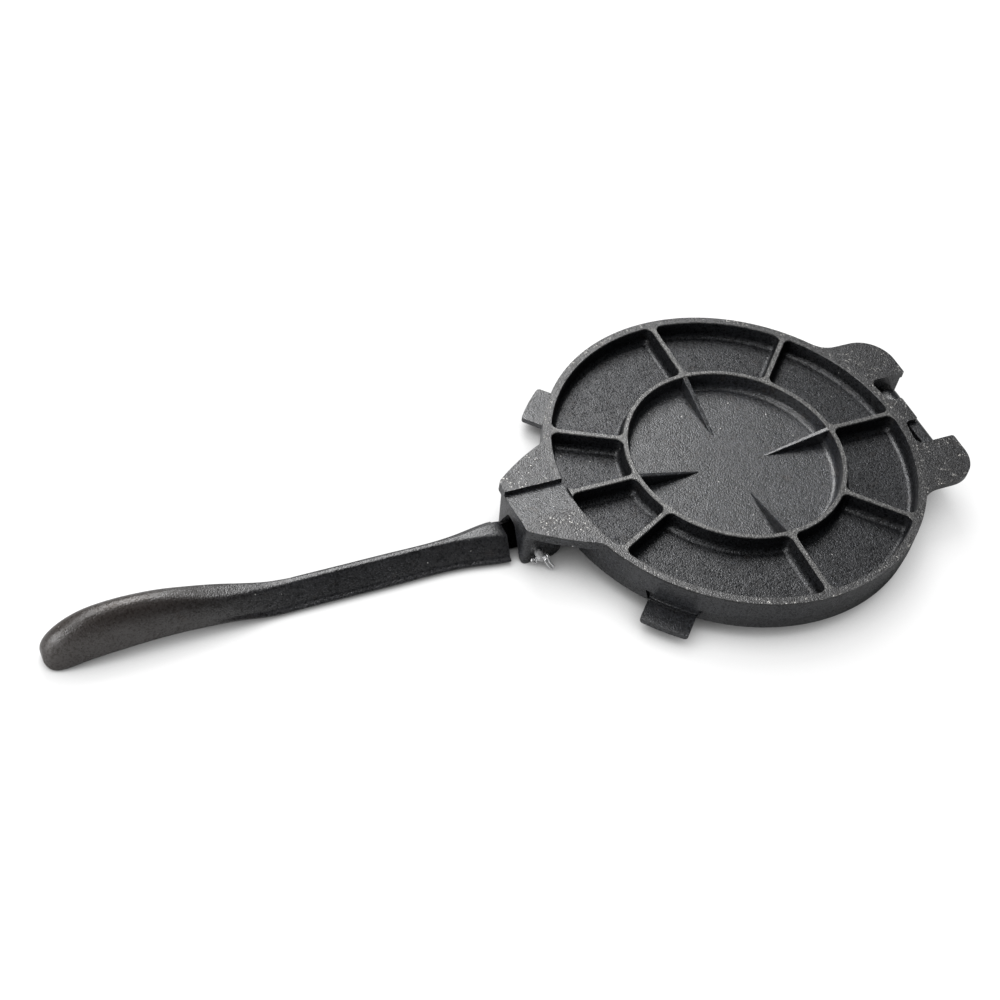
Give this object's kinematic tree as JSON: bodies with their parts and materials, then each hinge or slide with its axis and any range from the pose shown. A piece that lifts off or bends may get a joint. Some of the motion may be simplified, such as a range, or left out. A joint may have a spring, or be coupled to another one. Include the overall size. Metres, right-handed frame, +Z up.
{
  "type": "tortilla press",
  "caption": "Cast iron tortilla press lying closed on its lid, ribbed round base up, hinged lid below, lever handle swung out from a forked tongue",
  "frame": {"origin": "on the floor under the axis of the two discs, in the middle of the lid boss face that the press lies on", "axes": "+X from the handle to the lid hinge, +Z up out of the ribbed underside of the base, +Y completes a right-handed frame along the hinge pins"},
  "size_m": [0.5031, 0.21, 0.0305],
  "materials": {
    "iron": "black pre-seasoned sand-cast iron, fine pebbled skin, low sheen",
    "zinc": "bright zinc-plated steel wire and pins"
  },
  "bodies": {
    "base": {"base": "iron", "handle_pin": "zinc", "handle_cotter": "zinc", "hinge_pin": "zinc", "hinge_cotter": "zinc"},
    "lid": {"lid": "iron"},
    "handle": {"handle": "iron"}
  },
  "joints": [
    {"name": "lid_hinge", "type": "hinge", "parent": "base", "child": "lid", "pos_m": [0.1163, 0, 0.0135], "axis": [0, 1, 0], "range_deg": [-130, 0]},
    {"name": "handle_pivot", "type": "hinge", "parent": "base", "child": "handle", "pos_m": [-0.1215, 0, 0.0065], "axis": [0, -1, 0], "range_deg": [-15, 172.5]}
  ]
}
